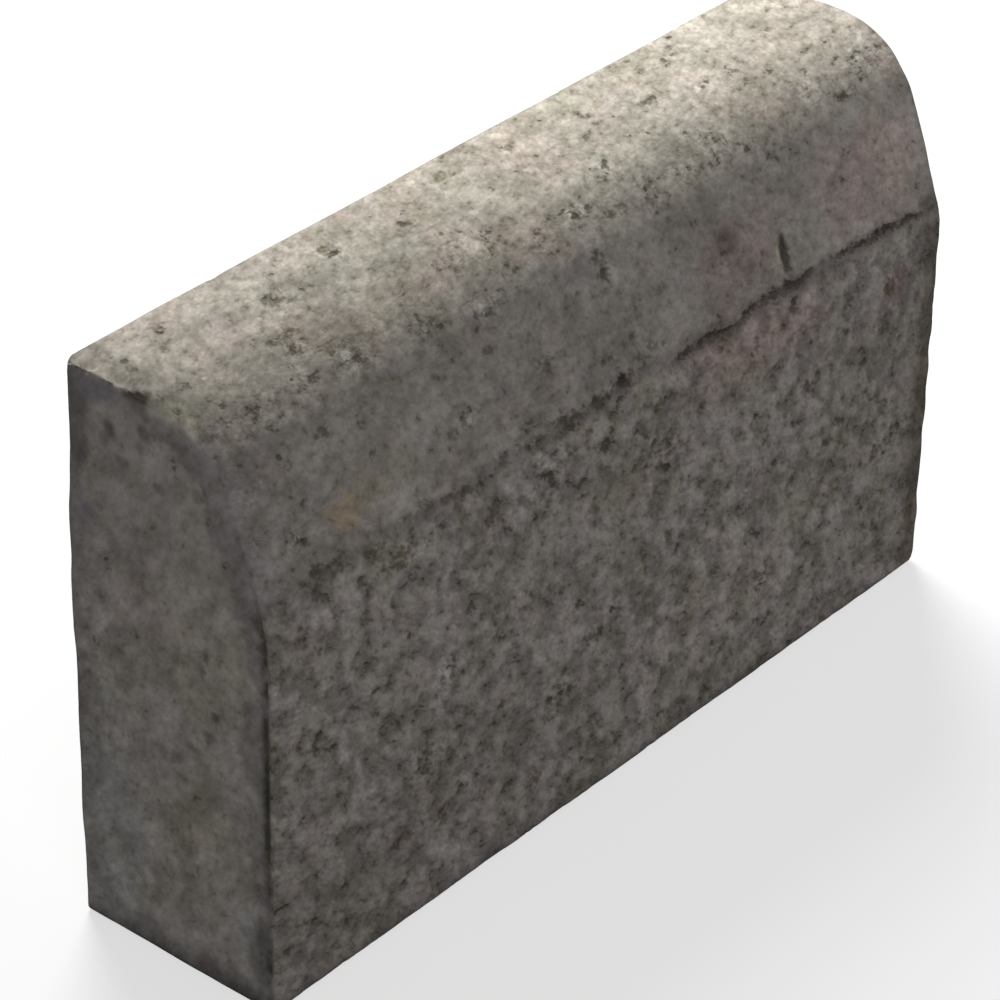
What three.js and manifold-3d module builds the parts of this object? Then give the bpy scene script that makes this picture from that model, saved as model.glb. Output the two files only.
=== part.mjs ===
// Precast concrete kerb stone: one solid casting.
// Millimetres. X runs along the kerb, the road side faces -Y, and +Z is up.
// The origin is at the middle of the base.

import * as THREE from "three";
import { mergeVertices } from "three/addons/utils/BufferGeometryUtils.js";
import Module from "manifold-3d";

const wasm = await Module();
wasm.setup();

// Overall size
const LENGTH = 500;
const WIDTH = 120;
const HEIGHT = 300;

// Road-side profile, from the top down: level top, nose, batter, shoulder, upright face
const TOP_WIDTH = 50; // level part of the top, measured from the back
const NOSE_RADIUS = 50; // round from the level top into the batter
const BATTER_ANGLE = THREE.MathUtils.degToRad(21.5); // lean of the upper face from upright
const SHOULDER_RADIUS = 95; // soft bend between the batter and the upright face

// Crease along the road side, where the fine facing mix meets the coarse base mix
const CREASE_HEIGHT = 218; // above the base
const CREASE_WIDTH = 3;
const CREASE_DEPTH = 1.6;

// Rounded arrises, all round
const ARRIS_RADIUS = 3;
const CORNER_RADIUS = 0.6; // left at the corners of the end faces, where three arrises meet

// Facets
const ARC_SEGMENTS = 6; // each arc of the profile takes twice as many chords
const ARRIS_SEGMENTS = 3; // steps across the arris at each end

const CUT_MARGIN = 5; // how far a cutter reaches past the surface that it cuts

const concrete = new THREE.MeshStandardMaterial({
  name: "concrete",
  color: 0x78726a,
  roughness: 0.92,
  metalness: 0,
});

// Where the batter, carried on down, would meet the plane of the upright face
const noseCentre = new THREE.Vector2(WIDTH - TOP_WIDTH, HEIGHT - NOSE_RADIUS);
const batterTop = new THREE.Vector2(
  noseCentre.x - NOSE_RADIUS * Math.cos(BATTER_ANGLE),
  noseCentre.y + NOSE_RADIUS * Math.sin(BATTER_ANGLE),
);
const batterFoot = batterTop.y - batterTop.x / Math.tan(BATTER_ANGLE);

// The shoulder is tangent to both, so its centre is level with the top of the upright face
const shoulderCentre = new THREE.Vector2(
  SHOULDER_RADIUS,
  batterFoot - SHOULDER_RADIUS * Math.tan(BATTER_ANGLE / 2),
);

// Depth behind the upright face's plane, and lean from upright, of the road side at a height
function roadSideAt(height) {
  const rise = height - shoulderCentre.y;
  if (rise <= 0) {
    return { depth: 0, lean: 0 };
  }
  if (rise < SHOULDER_RADIUS * Math.sin(BATTER_ANGLE)) {
    const lean = Math.asin(rise / SHOULDER_RADIUS);
    return { depth: SHOULDER_RADIUS * (1 - Math.cos(lean)), lean };
  }
  return { depth: (height - batterFoot) * Math.tan(BATTER_ANGLE), lean: BATTER_ANGLE };
}

// Cross-section in depth (from the upright face's plane) and height, counter-clockwise.
// Each arc starts where the one before it points to, so straight stretches join them.
function crossSection() {
  const { PI } = Math;
  const shape = new THREE.Shape();
  shape.absarc(WIDTH - ARRIS_RADIUS, ARRIS_RADIUS, ARRIS_RADIUS, -PI / 2, 0);
  shape.absarc(WIDTH - ARRIS_RADIUS, HEIGHT - ARRIS_RADIUS, ARRIS_RADIUS, 0, PI / 2);
  shape.absarc(noseCentre.x, noseCentre.y, NOSE_RADIUS, PI / 2, PI - BATTER_ANGLE);
  shape.absarc(shoulderCentre.x, shoulderCentre.y, SHOULDER_RADIUS, PI - BATTER_ANGLE, PI);
  shape.absarc(ARRIS_RADIUS, ARRIS_RADIUS, ARRIS_RADIUS, PI, (3 * PI) / 2);
  shape.closePath();
  return shape;
}

// Turns an extrusion of the cross-section's plane so that it runs along X, centred on the origin
function layAlongKerb(geometry, startX) {
  const alongY = new THREE.Vector3(0, 1, 0);
  const alongZ = new THREE.Vector3(0, 0, 1);
  const alongX = new THREE.Vector3(1, 0, 0);
  geometry.applyMatrix4(new THREE.Matrix4().makeBasis(alongY, alongZ, alongX));
  geometry.translate(startX, -WIDTH / 2, 0);
  return geometry;
}

// The casting without its crease: the section, with a rounded arris around each end
function castingGeometry() {
  const geometry = new THREE.ExtrudeGeometry(crossSection(), {
    depth: LENGTH - 2 * ARRIS_RADIUS,
    curveSegments: ARC_SEGMENTS,
    bevelThickness: ARRIS_RADIUS,
    bevelSize: ARRIS_RADIUS - CORNER_RADIUS,
    bevelOffset: CORNER_RADIUS - ARRIS_RADIUS,
    bevelSegments: ARRIS_SEGMENTS,
  });
  return layAlongKerb(geometry, ARRIS_RADIUS - LENGTH / 2);
}

// V-shaped bar that cuts the crease square to the surface and runs out past both ends
function creaseCutterGeometry() {
  const { depth, lean } = roadSideAt(CREASE_HEIGHT);
  const mouth = (CREASE_WIDTH / 2) * (1 + CUT_MARGIN / CREASE_DEPTH);
  const vee = new THREE.Shape([
    new THREE.Vector2(CREASE_DEPTH, 0),
    new THREE.Vector2(-CUT_MARGIN, mouth),
    new THREE.Vector2(-CUT_MARGIN, -mouth),
  ]);
  const geometry = new THREE.ExtrudeGeometry(vee, {
    depth: LENGTH + 2 * CUT_MARGIN,
    bevelEnabled: false,
  });
  geometry.rotateZ(-lean);
  geometry.translate(depth, CREASE_HEIGHT, 0);
  return layAlongKerb(geometry, -CUT_MARGIN - LENGTH / 2);
}

function toSolid(geometry) {
  geometry.deleteAttribute("normal");
  geometry.deleteAttribute("uv");
  const merged = mergeVertices(geometry);
  return new wasm.Manifold(
    new wasm.Mesh({
      numProp: 3,
      vertProperties: merged.getAttribute("position").array,
      triVerts: new Uint32Array(merged.getIndex().array),
    }),
  );
}

function toGeometry(solid) {
  const { vertProperties, triVerts } = solid.getMesh();
  const geometry = new THREE.BufferGeometry();
  geometry.setAttribute("position", new THREE.BufferAttribute(vertProperties, 3));
  geometry.setIndex(new THREE.BufferAttribute(triVerts, 1));
  geometry.computeVertexNormals();
  return geometry;
}

function kerbStone() {
  const casting = toSolid(castingGeometry());
  const crease = toSolid(creaseCutterGeometry());
  const mesh = new THREE.Mesh(toGeometry(casting.subtract(crease)), concrete);
  mesh.name = "kerb_stone";
  return mesh;
}

const kerb = new THREE.Group();
kerb.name = "concrete_kerb_stone";
kerb.add(kerbStone());

export default kerb;
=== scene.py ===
"""Looks of the concrete kerb stone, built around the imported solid.

Metres; X runs along the kerb, -Y is the road side and +Z is up. The near end is the one at -X. The
stone is one mesh. Its section is the solid's own, laid out as an even grid, rounded at its arrises (the
edges where two faces meet) and then pitted and worn inwards by Geometry Nodes. The same cast pattern
drives the relief and the colours, because both read it from `place`, each point's position before it was
worn.
"""

import math
from functools import reduce
from operator import add, mul

import bpy
import numpy as np
from mathutils import Matrix, Vector
from mathutils.geometry import delaunay_2d_cdt


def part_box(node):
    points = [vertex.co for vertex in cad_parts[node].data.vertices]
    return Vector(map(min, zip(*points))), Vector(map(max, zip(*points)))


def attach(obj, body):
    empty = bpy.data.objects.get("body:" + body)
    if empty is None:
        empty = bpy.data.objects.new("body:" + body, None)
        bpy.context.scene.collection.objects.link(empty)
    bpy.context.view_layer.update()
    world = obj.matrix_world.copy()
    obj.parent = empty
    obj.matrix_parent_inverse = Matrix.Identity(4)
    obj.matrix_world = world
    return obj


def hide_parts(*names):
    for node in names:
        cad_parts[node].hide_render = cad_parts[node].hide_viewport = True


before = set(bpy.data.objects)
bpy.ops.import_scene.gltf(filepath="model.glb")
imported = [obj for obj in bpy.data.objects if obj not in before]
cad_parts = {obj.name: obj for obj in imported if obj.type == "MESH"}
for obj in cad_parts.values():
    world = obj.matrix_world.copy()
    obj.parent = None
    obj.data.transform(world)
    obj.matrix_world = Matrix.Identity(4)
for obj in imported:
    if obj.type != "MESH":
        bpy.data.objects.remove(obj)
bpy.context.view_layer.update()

NODE = "kerb_stone"
MM = 0.001

# ------ sizes of the section
LOW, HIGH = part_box(NODE)
LENGTH, WIDTH, HEIGHT = (HIGH[i] - LOW[i] for i in range(3))
TOP_WIDTH = 50 * MM
NOSE_RADIUS = 50 * MM
BATTER_ANGLE = math.radians(21.5)
SHOULDER_RADIUS = 95 * MM
CREASE_HEIGHT = 218 * MM
ARRIS_RADIUS = 3 * MM

# Where the arcs of the road side are centred, in depth from the upright face and height
NOSE_CENTRE = (WIDTH - TOP_WIDTH, HEIGHT - NOSE_RADIUS)
BATTER_TOP = (
    NOSE_CENTRE[0] - NOSE_RADIUS * math.cos(BATTER_ANGLE),
    NOSE_CENTRE[1] + NOSE_RADIUS * math.sin(BATTER_ANGLE),
)
BATTER_FOOT = BATTER_TOP[1] - BATTER_TOP[0] / math.tan(BATTER_ANGLE)
SHOULDER_CENTRE = (SHOULDER_RADIUS, BATTER_FOOT - SHOULDER_RADIUS * math.tan(BATTER_ANGLE / 2))

# ------ how finely the mesh is laid out
FINE_STEP = 1.9 * MM  # road side and top
CREASE_STEP = 1.1 * MM  # up the shoulder, which carries the crease
BACK_STEP = 3.8 * MM
BASE_STEP = 6 * MM
ARRIS_STEPS = 3
NEAR_END_STEP = 2.0 * MM
FAR_END_STEP = 3.0 * MM
RIM_SHARES = (1 / 3, 2 / 3, 1)  # where rings of points lie on the rounding of an end's arris
ON_AN_END = 1.0  # how far up over the stone the vertices on an end are said to lie: further than any other
BAKE_MARGIN = 5 * MM

# ------ wear
INSET = 0.25 * MM  # the untouched surface stays this far inside the solid
UNDULATION = 0.5 * MM
LUMP_DEPTHS = (0.22 * MM, 0.50 * MM)  # in the facing mix and in the base mix
CHIP_DEPTH = 0.8 * MM
NICK_DEPTH = 1.0 * MM
VOID_DEPTH = 1.1 * MM
PINHOLE_DEPTH = 0.4 * MM
PIT_DEPTH = 0.9 * MM
CREASE_DEPTH = 1.4 * MM
NEAR_NOSE_WEAR = 12 * MM  # how far the nose's arris is worn round at the near end
NEAR_BACK_WEAR = 5 * MM  # how much further the upper back arris is worn round there
# Which corners broke off, how the break leans, and how deep it lies on its diagonal. The first is the near
# end's upper one at the back.
BROKEN_CORNERS = (((-1, 1, 1), (1, 1, 1.8), 3.6 * MM), ((1, -1, -1), (1, 1, 1), 4.0 * MM))
SEED = 7

# The mix settled along this slant, and its patterns are drawn out that way
SLANT = (-0.64, -0.53, 0.55)
LUMP_STRETCH = 1.9
GRAIN_STRETCH = 2.2
END_SLANT = (0, -0.69, 0.72)
END_STRETCH = 2.2

# ------ colours, as reflected light
BASE_MIX = (0.342, 0.310, 0.291)
FACING_MIX = (0.336, 0.306, 0.285)
# The top's colour: partly paler bleached concrete, partly painted light for how much more light the top takes
# than the road side. It is also laid over the near end's rim and broken corner
WEATHERED_AND_LIT_TOP = (0.465, 0.425, 0.362)
END_CENTRE = (0.412, 0.382, 0.359)
END_BORDER = (0.290, 0.270, 0.264)
# The dark of the voids, pits, pinholes and the near notch: partly darker matter in them, partly painted shade
# in the hollows
VOID_DIRT_AND_SHADE = (0.112, 0.096, 0.077)
# Painted shadow for dark lines: in the crease's groove, beside the near end's front arris and in the slanted
# mark
SHADOW_LINE = (0.058, 0.049, 0.043)
RUST = (0.400, 0.290, 0.150)
PURPLE_BROWN = (0.190, 0.138, 0.130)
OLIVE = (0.300, 0.285, 0.220)
PALE_LIME = (0.560, 0.500, 0.360)
PALE_GRAIN = (0.640, 0.620, 0.580)
ROUGHNESS = 0.92
SPECULAR = 0.3

# Tints, which multiply the colour that is there
SMEAR_TINT = (0.66, 0.63, 0.57)
PORE_TINT = (1.0, 0.985, 0.92)
HOLLOW_TINT = (1.0, 1.0, 0.94)
ROSY_TINT = (1.03, 0.985, 0.975)
GREENISH_TINT = (0.962, 0.985, 0.96)
NEAR_TOP_TINT = (1.012, 1.0, 1.015)
NEAR_STRIP_TINT = (0.78, 0.79, 0.79)
HIGH_BACK_TINT = (0.80, 0.78, 0.90)
FAR_EDGE_TINT = (0.76, 0.73, 0.69)
LOW_FAR_EDGE_TINT = (0.80, 0.77, 0.73)

# ------ camera, floor and light
VIEW_ANGLES = (-50.557, 32.716, 1.109)  # azimuth, elevation and roll, in degrees
VIEW_DISTANCE = 1.9038
VIEW_AIM = (-0.0962, -0.0600, 0.2041)
LENS = 152.68
SENSOR_WIDTH = 36
WHITE = (1, 1, 1)
FLOOR_SIZE = 12
FLOOR_SHADOWED = (0.4, 0.4, 0.4)  # the part of the floor's brightness that a shadow takes away
FLOOR_GLOW = (0.62, 0.62, 0.62)
FLOOR_BOUNCE = (0.15, 0.15, 0.15)  # the floor as the stone sees it
WORLD_STRENGTH = 0.20
# Where each lamp shines from, its distance and size, and its power
LAMPS = {
    "key": ((0.45, 0.58, 0.68), 2.3, 1.3, 58),
    "left_fill": ((-0.60, -0.65, 0.45), 3.0, 1.6, 13),
    "right_fill": ((0.75, -0.50, 0.43), 3.0, 1.2, 11),
}

# ------ marks
# On the road side and top, in mm: from the near end, and up the road side and over from its foot.
# Single deep pits, from the base upwards, each with its radius
PITS = [
    (28, 40, 3), (12, 34, 1.8), (48, 48, 2), (31, 66, 2), (90, 27, 1.8), (212, 36, 2), (281, 20, 2.5),
    (365, 30, 2.2), (370, 34, 2), (446, 60, 2), (360, 57, 1.8), (363, 63, 1.3), (250, 65, 2),
    (299, 69, 2), (130, 60, 2), (141, 60, 1.5), (122, 79, 1.6), (100, 86, 1.5), (196, 73, 2.5),
    (203, 74, 1.8), (75, 82, 1.6), (463, 86, 1.8), (469, 94, 2.6), (473, 98, 1.8), (240, 103, 2.4),
    (261, 101, 2), (380, 106, 2), (451, 109, 2), (21, 101, 1.8), (289, 113, 2.2), (338, 113, 2),
    (410, 117, 2.4), (214, 119, 2.4), (366, 126, 2.3), (120, 132, 2.5), (117, 128, 1.5), (328, 130, 1.8),
    (34, 142, 2.5), (30, 138, 1.8), (7, 142, 2), (357, 142, 2.4), (70, 145, 1.8), (297, 152, 1.5),
    (439, 152, 2), (348, 160, 2.2), (398, 162, 2.2), (93, 164, 1.5), (279, 165, 2.2), (262, 173, 2.2),
    (421, 176, 2.2), (180, 182, 1.8), (363, 182, 1.7), (213, 186, 2.4), (268, 184, 2.2), (305, 187, 2.3),
    (254, 195, 2.2), (232, 196, 2), (233, 201, 1.8), (62, 209, 2.2), (377, 212, 1.6), (46, 224, 1.5),
    (152, 219, 1.5), (162, 224, 1.8), (180, 221, 1.6), (186, 221, 1.8), (208, 219, 1.4), (215, 218, 1.6),
    (228, 224, 1.6), (232, 219, 1.8), (250, 224, 2.4), (240, 238, 1.6), (262, 241, 1.7), (246, 238, 1.5),
    (27, 243, 1.4), (37, 240, 1.4), (144, 251, 1.3), (151, 252, 1.4), (132, 241, 1.3), (200, 254, 1.6),
    (41, 255, 1.8), (341, 253, 1.4), (432, 255, 1.5), (119, 262, 1.6), (255, 276, 2.6), (36, 279, 1.5),
    (149, 277, 1.3), (255, 285, 2), (401, 282, 1.2), (172, 289, 2.2), (177, 287, 2.2), (453, 292, 2.2),
    (374, 293, 1.8), (191, 294, 2.1), (140, 295, 2), (151, 293, 1.5), (348, 295, 1.7), (306, 295, 1.7),
    (468, 294, 1.6), (484, 296, 1.8), (371, 297, 1.8), (110, 296, 2), (100, 299, 2.6), (334, 299, 2),
    (472, 300, 1.6), (203, 301, 1.6), (39, 302, 1.8), (234, 303, 1.8), (359, 304, 1.8), (63, 305, 1.5),
    (473, 306, 1.7), (266, 307, 1.9), (256, 306, 2.6), (24, 310, 2), (253, 311, 1.9), (348, 315, 1.5),
    (74, 316, 1.5), (176, 318, 1.7), (84, 320, 1.5), (423, 322, 1.6), (467, 321, 1.7), (207, 323, 1.4),
    (332, 325, 1.9), (75, 327, 1.7), (199, 329, 1.4), (192, 333, 2.3), (158, 333, 1.6), (386, 334, 2),
    (391, 336, 1.8), (285, 340, 1.7), (361, 345, 1.7), (353, 345, 1.7), (113, 347, 1.4), (118, 347, 1.4),
    (333, 347, 1.5), (455, 349, 1.6), (98, 350, 2), (325, 356, 1.8), (146, 358, 2.2), (17, 362, 1.8),
    (114, 366, 1.8), (395, 366, 1.8), (402, 367, 1.6), (273, 366, 1.9), (44, 367, 1.4), (124, 373, 1.6),
    (306, 371, 1.2),
]
PIT_REACH = 5 * MM  # how far from a pit the mesh carries the way to it
# Short dark marks: the middle, half the width and half the height
DARK_MARKS = [
    (377.7, 234.5, 2.4, 9.5), (142, 299, 1.2, 4), (5, 60, 4, 1.5), (90, 192, 3.5, 1.3),
]
# Dirty smears, by their middle, half width and half height
SMEARS = [
    (42, 221, 16, 4), (76, 219, 9, 2.5), (89, 208, 9, 5), (122, 221, 6, 3), (135, 220, 8, 2.5),
    (162, 222, 4, 4), (209, 222, 11, 5), (232, 222, 7, 4), (251, 224, 5, 4), (270, 231, 12, 3),
    (187, 207, 4, 5), (233, 201, 7, 5), (272, 203, 7, 4), (149, 199, 4, 5), (97, 350, 7, 6),
    (145, 361, 5, 6), (76, 321, 5, 7), (84, 326, 4, 4), (91, 309, 8, 4), (48, 372, 5, 3),
    (230, 369, 8, 4), (191, 352, 4, 3), (323, 362, 3, 5), (357, 342, 6, 4), (274, 363, 3, 5),
    (281, 298, 9, 3), (205, 362, 4, 3), (157, 133, 5, 3), (228, 95, 7, 5), (104, 93, 6, 4),
    (90, 52, 8, 4), (119, 50, 7, 4), (185, 34, 8, 4), (284, 124, 6, 4), (350, 89, 7, 2), (328, 34, 4, 4),
    (392, 160, 5, 4), (452, 90, 4, 5), (420, 125, 5, 3), (172, 272, 7, 2), (63, 279, 5, 3),
    (255, 276, 5, 6), (255, 285, 4, 4), (459, 188, 7, 6), (346, 199, 3, 8), (320, 214, 2, 6),
]
# Pale grains that stand out of the mix, likewise
PALE_SPOTS = [
    (96, 303, 3, 3), (263, 344, 3, 2.5), (92, 339, 3, 2.5), (217, 336, 2.5, 2.5), (184, 326, 2, 1.5),
    (201, 314, 2, 1.5), (82, 343, 1.6, 1.6), (30, 328, 1.6, 1.6), (249, 304, 2, 2), (148, 248, 2.5, 1.5),
    (33, 243, 2, 1.5), (364, 55, 2, 1.5), (487, 308, 3, 2), (491, 302, 3, 2), (419, 305, 1.5, 1.2),
    (231, 363, 2, 1.5),
]
# Places where small pits gather
PIT_CLUSTERS = [
    (35, 137, 9, 9), (120, 130, 9, 9), (275, 175, 16, 14), (190, 205, 13, 13), (235, 200, 8, 8),
    (105, 88, 12, 9), (200, 72, 12, 10), (468, 93, 12, 10), (205, 222, 12, 6), (243, 224, 12, 6),
    (180, 221, 8, 6), (42, 223, 12, 3), (208, 252, 12, 4), (98, 350, 12, 10), (76, 322, 8, 9),
    (36, 300, 12, 8), (67, 303, 10, 6), (98, 300, 12, 7), (145, 296, 10, 6), (180, 290, 10, 6),
    (232, 302, 8, 6), (258, 307, 12, 6), (305, 297, 9, 7), (334, 299, 8, 5), (355, 303, 10, 9),
    (388, 284, 14, 6), (432, 300, 10, 5), (455, 293, 8, 5), (472, 302, 10, 9), (490, 303, 9, 12),
    (146, 360, 8, 8), (190, 317, 18, 6), (387, 334, 8, 5), (290, 318, 8, 6), (148, 250, 7, 5),
    (32, 242, 8, 4), (362, 60, 8, 7), (14, 271, 8, 4),
]
# The crease, point by point: how far along, how far up, half the groove's width, and its strength
CREASE = [
    (22, 219, 1, 0), (30, 223, 2.5, 0.25), (44, 224.5, 2.2, 0.6), (56, 223.5, 2, 0.3), (64, 221, 2, 0.08),
    (76, 221, 2.6, 0.12), (90, 220, 2.2, 0.1), (106, 222, 1.6, 0.15), (121, 221, 2, 0.45),
    (134, 220, 2, 0.3), (144, 219.5, 1.3, 0.05), (153, 219, 1.8, 0.35), (162, 224, 2.2, 0.5),
    (168, 223, 1.2, 0.05), (180, 221, 2, 0.45), (187, 221, 2, 0.4), (193, 221.5, 1.6, 0.15),
    (208, 222, 3, 0.5), (217, 219.5, 2.4, 0.5), (222, 221, 2, 0.15), (228, 223.5, 2, 0.5),
    (235, 221, 2, 0.2), (243, 223, 2.6, 0.6), (250, 224.5, 3.2, 0.95), (257, 224.5, 1.6, 0.1),
    (265, 224.5, 1.8, 0.4), (272, 224, 1, 0.1), (286, 218.5, 1, 0.1), (291, 219, 2.6, 1),
    (297, 219.5, 2, 0.85), (308, 220, 2.4, 0.9), (320, 219, 1.8, 0.8), (332, 217.5, 1.5, 0.7),
    (341, 219.5, 1.9, 0.9), (350, 222, 1.7, 0.85), (364, 221, 2, 0.85), (371, 221, 2, 0.8),
    (384, 219.5, 2.7, 0.8), (393, 221.5, 1.8, 0.65), (399, 222, 1.2, 0.2), (409, 221.5, 1, 0.3),
    (415, 221, 1.7, 0.8), (436, 219.5, 2, 0.9), (446, 219.5, 3, 1), (453, 219.5, 2.3, 0.95),
    (467, 218, 1.9, 0.9), (484, 216, 1.5, 0.75), (491, 215, 1, 0.2),
]

# Ragged marks, by their middle, half width and half height, and the size of what frays their edge, in mm. The
# middle is given from the near end and up on the road side, in from the road side's foot and up on the near
# end, and from the near end and up over from the foot on the top.
# Chips out of the arris over the near end, with how deep they go
NEAR_CHIPS = [
    (86, 300, 7, 4, 6, 1.6 * MM), (106, 300, 4, 3, 6, 1.5 * MM), (40, 292, 5, 4, 6, 1.5 * MM),
]
# Tints, by their colour first
ROAD_TINTS = [
    ((1.04, 0.958, 0.978), 452, 246, 42, 26, 26),
    ((0.98, 0.90, 0.91), 344, 244, 34, 22, 22),
    ((1.05, 0.94, 0.955), 347, 202, 56, 24, 18),
    ((0.75, 0.76, 0.75), 247, 231, 30, 12, 14),
    ((0.86, 0.86, 0.85), 232, 252, 26, 16, 24),
    ((0.84, 0.83, 0.81), 268, 178, 30, 22, 20),
    ((0.87, 0.87, 0.86), 60, 36, 74, 20, 24),
    ((0.90, 0.90, 0.90), 250, 196, 60, 10, 14),
    ((0.85, 0.84, 0.82), 412, 172, 26, 26, 18),
    ((1.13, 1.12, 1.11), 330, 66, 66, 42, 30),
    ((1.09, 1.08, 1.08), 384, 199, 17, 12, 14),
    ((1.12, 1.11, 1.10), 262, 212, 22, 6, 10),
    ((1.02, 0.93, 0.94), 460, 184, 12, 12, 9),
    ((0.92, 0.91, 0.90), 18, 57, 16, 28, 20),
    ((0.92, 0.92, 0.92), 125, 64, 110, 38, 30),
    # These two are painted shade along the crease
    ((0.90, 0.90, 0.89), 95, 212, 90, 9, 20),
    ((0.88, 0.87, 0.86), 425, 214, 20, 8, 12),
    ((0.91, 0.91, 0.90), 150, 266, 44, 10, 14),
    ((1.10, 1.09, 1.08), 372, 246, 24, 10, 12),
    ((1.10, 1.08, 1.07), 474, 248, 24, 24, 16),
]
TOP_TINTS = [
    ((1.22, 1.22, 1.22), 8, 309, 16, 11, 7),
    ((1.16, 1.16, 1.16), 38, 336, 12, 24, 14),
    ((0.80, 0.815, 0.80), 74, 322, 13, 13, 12),
    ((0.84, 0.85, 0.84), 114, 350, 26, 16, 18),
    ((0.84, 0.85, 0.84), 344, 318, 32, 6, 12),
    ((0.90, 0.90, 0.90), 422, 358, 24, 18, 16),
    ((0.90, 0.90, 0.89), 376, 314, 26, 10, 12),
    ((1.12, 1.10, 1.09), 126, 314, 22, 9, 12),
    ((1.12, 1.11, 1.10), 326, 295, 24, 9, 12),
    ((1.08, 1.08, 1.08), 374, 368, 24, 10, 12),
]
END_TINTS = [
    ((0.94, 0.98, 1.02), 98, 66, 16, 56, 24),
    ((1.03, 1.06, 1.08), 11, 30, 12, 18, 14),
    ((1.10, 1.10, 1.09), 10, 108, 9, 18, 14),
    ((0.76, 0.75, 0.74), 110, 270, 8, 22, 12),
    ((1.12, 1.10, 1.09), 28, 230, 9, 18, 14),
    ((1.0, 1.0, 0.94), 38, 185, 24, 62, 26),
    ((1.02, 1.01, 0.95), 36, 84, 26, 28, 24),
    ((1.02, 0.985, 1.0), 78, 205, 22, 44, 24),
    ((0.93, 0.93, 0.93), 60, 116, 60, 14, 24),
    ((0.88, 0.87, 0.88), 22, 236, 14, 26, 14),
    ((1.06, 1.07, 1.09), 22, 52, 12, 16, 16),
    ((0.93, 0.92, 0.92), 26, 160, 10, 20, 16),
]
# Stains, with how much they cover; a few are painted light or shade, as marked
ROAD_STAINS = [
    (PURPLE_BROWN, [
        (341, 254, 8, 8, 5, 0.6), (427, 252, 7, 3, 5, 0.35), (461, 185, 9, 8, 6, 0.45),
        (384, 218, 13, 5, 6, 0.45), (90, 51, 12, 6, 7, 0.4), (119, 50, 10, 5, 7, 0.4),
    ]),
    (RUST, [(62, 236, 10, 8, 7, 0.42), (74, 239, 20, 9, 12, 0.2)]),
    (OLIVE, [(79, 242, 8, 4, 5, 0.35), (97, 240, 22, 8, 12, 0.35)]),
    # The slanted mark: a pale stripe with a dark one beside it, painted highlight and shade of its relief
    (PALE_LIME, [(373.4, 234.5, 1.8, 7, 12, 0.9), (369, 230, 4, 3, 4, 0.4)]),
    (SHADOW_LINE, [(378.3, 239, 2.5, 7, 12, 1), (377, 231, 2.5, 7, 12, 1)]),
    (OLIVE, [(82, 210, 16, 9, 9, 0.3)]),
]
END_STAINS = [
    # The near end's dark voids: partly darker matter, partly painted shade
    (VOID_DIRT_AND_SHADE, [
        (91, 276, 3.5, 4.5, 10, 0.7), (95, 268, 3, 4, 10, 0.5), (71, 281, 3.5, 4.5, 10, 0.6),
        (73, 273, 2.5, 4, 10, 0.4), (84, 261, 5, 3, 10, 0.4), (37, 181, 2.2, 5, 12, 0.75),
        (40, 173, 2.5, 4, 12, 0.5), (32, 151, 2.4, 2.4, 12, 0.8), (36, 139, 5, 2.4, 12, 0.5),
        (47, 128, 5, 2.4, 12, 0.45), (57, 118, 3, 4, 12, 0.5), (52, 108, 3, 3, 12, 0.5),
        (63, 256, 4, 3, 7, 0.35), (40, 263, 5, 3, 7, 0.35), (4, 212, 5, 17, 6, 0.6),
        (2, 146, 4, 6, 5, 0.6), (2, 84, 4, 16, 6, 0.45), (6, 42, 5, 16, 7, 0.45),
    ]),
    (PURPLE_BROWN, [(42, 9, 9, 5, 7, 0.5)]),
    (PALE_GRAIN, [(7, 205, 3, 3, 5, 0.4)]),
]

# ====== section
def arc(centre, radius, start, end, steps):
    """Points of an arc in (depth, height), without its last."""
    angles = np.linspace(start, end, steps + 1)[:-1]
    return np.column_stack([centre[0] + radius * np.cos(angles), centre[1] + radius * np.sin(angles)])


def stretch(start, end, step):
    """Points of a straight line in (depth, height), without its last."""
    start, end = np.array(start), np.array(end)
    count = max(1, round(np.linalg.norm(end - start) / step))
    return start + (end - start) * np.linspace(0, 1, count + 1)[:-1, None]


def section_points():
    """The section's outline, up the road side, over the top, down the back and forward along the base."""
    r = ARRIS_RADIUS
    pi = math.pi
    lean_end = pi - BATTER_ANGLE
    shoulder_steps = round(SHOULDER_RADIUS * BATTER_ANGLE / CREASE_STEP)
    nose_steps = round(NOSE_RADIUS * (lean_end - pi / 2) / FINE_STEP)
    shoulder_top = (
        SHOULDER_CENTRE[0] + SHOULDER_RADIUS * math.cos(lean_end),
        SHOULDER_CENTRE[1] + SHOULDER_RADIUS * math.sin(lean_end),
    )
    parts = [
        arc((r, r), r, 1.5 * pi, pi, ARRIS_STEPS),
        stretch((0, r), (0, SHOULDER_CENTRE[1]), FINE_STEP),
        arc(SHOULDER_CENTRE, SHOULDER_RADIUS, pi, lean_end, shoulder_steps),
        stretch(shoulder_top, BATTER_TOP, FINE_STEP),
        arc(NOSE_CENTRE, NOSE_RADIUS, lean_end, pi / 2, nose_steps),
        stretch((NOSE_CENTRE[0], HEIGHT), (WIDTH - r, HEIGHT), FINE_STEP),
        arc((WIDTH - r, HEIGHT - r), r, pi / 2, 0, ARRIS_STEPS),
        stretch((WIDTH, HEIGHT - r), (WIDTH, r), BACK_STEP),
        arc((WIDTH - r, r), r, 0, -pi / 2, ARRIS_STEPS),
        stretch((WIDTH - r, 0), (r, 0), BASE_STEP),
    ]
    outline = np.vstack(parts)
    outline[:, 0] -= WIDTH / 2
    return outline


def outward(outline):
    """Unit normals of a closed outline that runs clockwise seen from +X."""
    along = np.roll(outline, -1, axis=0) - np.roll(outline, 1, axis=0)
    normal = np.column_stack([-along[:, 1], along[:, 0]])
    return normal / np.linalg.norm(normal, axis=1, keepdims=True)


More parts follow.
